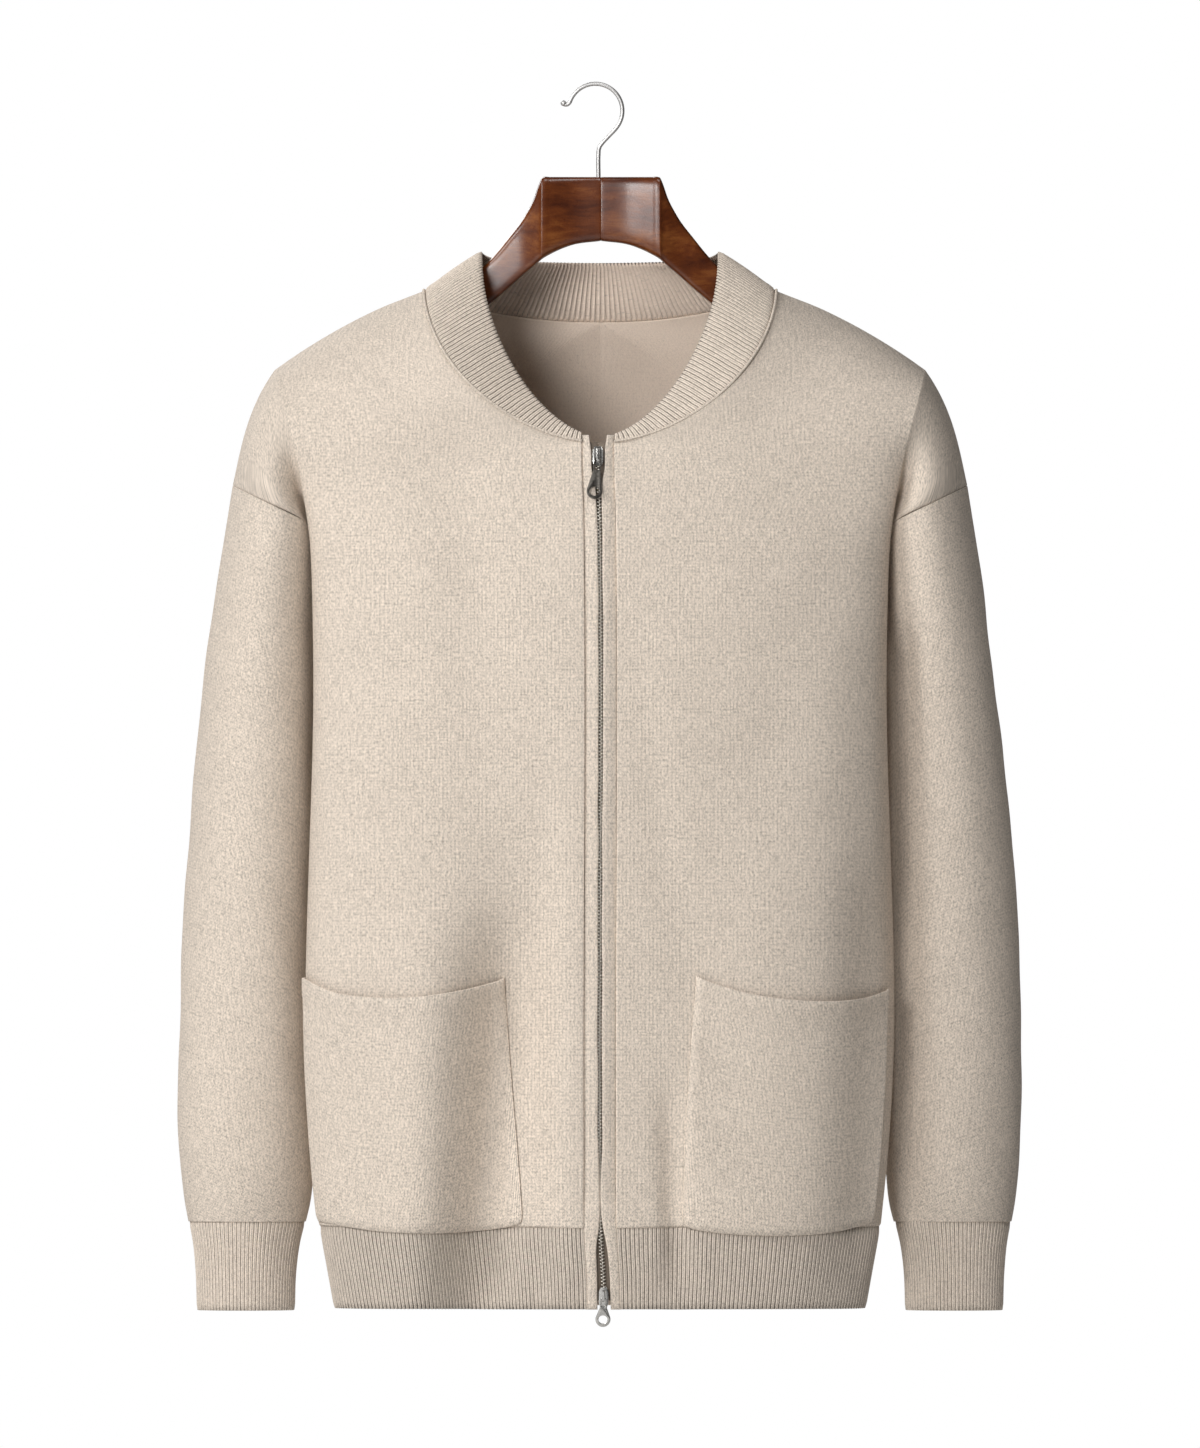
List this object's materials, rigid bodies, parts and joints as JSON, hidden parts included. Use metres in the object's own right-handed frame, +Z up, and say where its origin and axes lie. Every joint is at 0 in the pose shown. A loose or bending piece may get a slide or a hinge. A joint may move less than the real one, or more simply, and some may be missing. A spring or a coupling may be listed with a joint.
{
  "type": "zip-up cardigan on a hanger",
  "caption": "Fine-knit zip-up cardigan with a ribbed round neckband, dropped shoulders and two patch pockets, closed and hanging on a wooden hanger with a wire hook.",
  "frame": {"origin": "underside of the hook's wire at the top of its bow, where a rail carries the hanger", "axes": "+Z up along the hook's stem, the cardigan's front faces -Y, +X is the wearer's left"},
  "size_m": [0.5634, 0.2038, 0.8286],
  "materials": {
    "knit": "matt",
    "rib": "matt",
    "tape": "matt",
    "zip_metal": "satin",
    "wood": "gloss",
    "steel": "polished"
  },
  "bodies": {
    "garment": {"back": "knit", "front_left": "knit", "front_right": "knit", "sleeve_left": "knit", "sleeve_right": "knit", "pocket_left": "knit", "pocket_right": "knit", "band_left": "knit", "band_right": "knit", "collar": "rib", "cuff_left": "rib", "cuff_right": "rib", "hem_left": "rib", "hem_right": "rib", "hem_back": "rib", "zip_tape_left": "tape", "zip_tape_right": "tape", "zip_chain": "zip_metal", "slider_upper": "zip_metal", "slider_lower": "zip_metal", "hanger_left": "wood", "hanger_right": "wood", "hook": "steel"},
    "upper_pull": {"pull_upper": "zip_metal"},
    "lower_pull": {"pull_lower": "zip_metal"}
  },
  "joints": [
    {"name": "upper_pull_hinge", "type": "hinge", "parent": "garment", "child": "upper_pull", "pos_m": [-0.00129, -0.08619, -0.24906], "axis": [1, 0, 0], "range_deg": [-125, 0]},
    {"name": "lower_pull_hinge", "type": "hinge", "parent": "garment", "child": "lower_pull", "pos_m": [0.00244, -0.09475, -0.80698], "axis": [1, 0, 0], "range_deg": [-125, 0]}
  ]
}
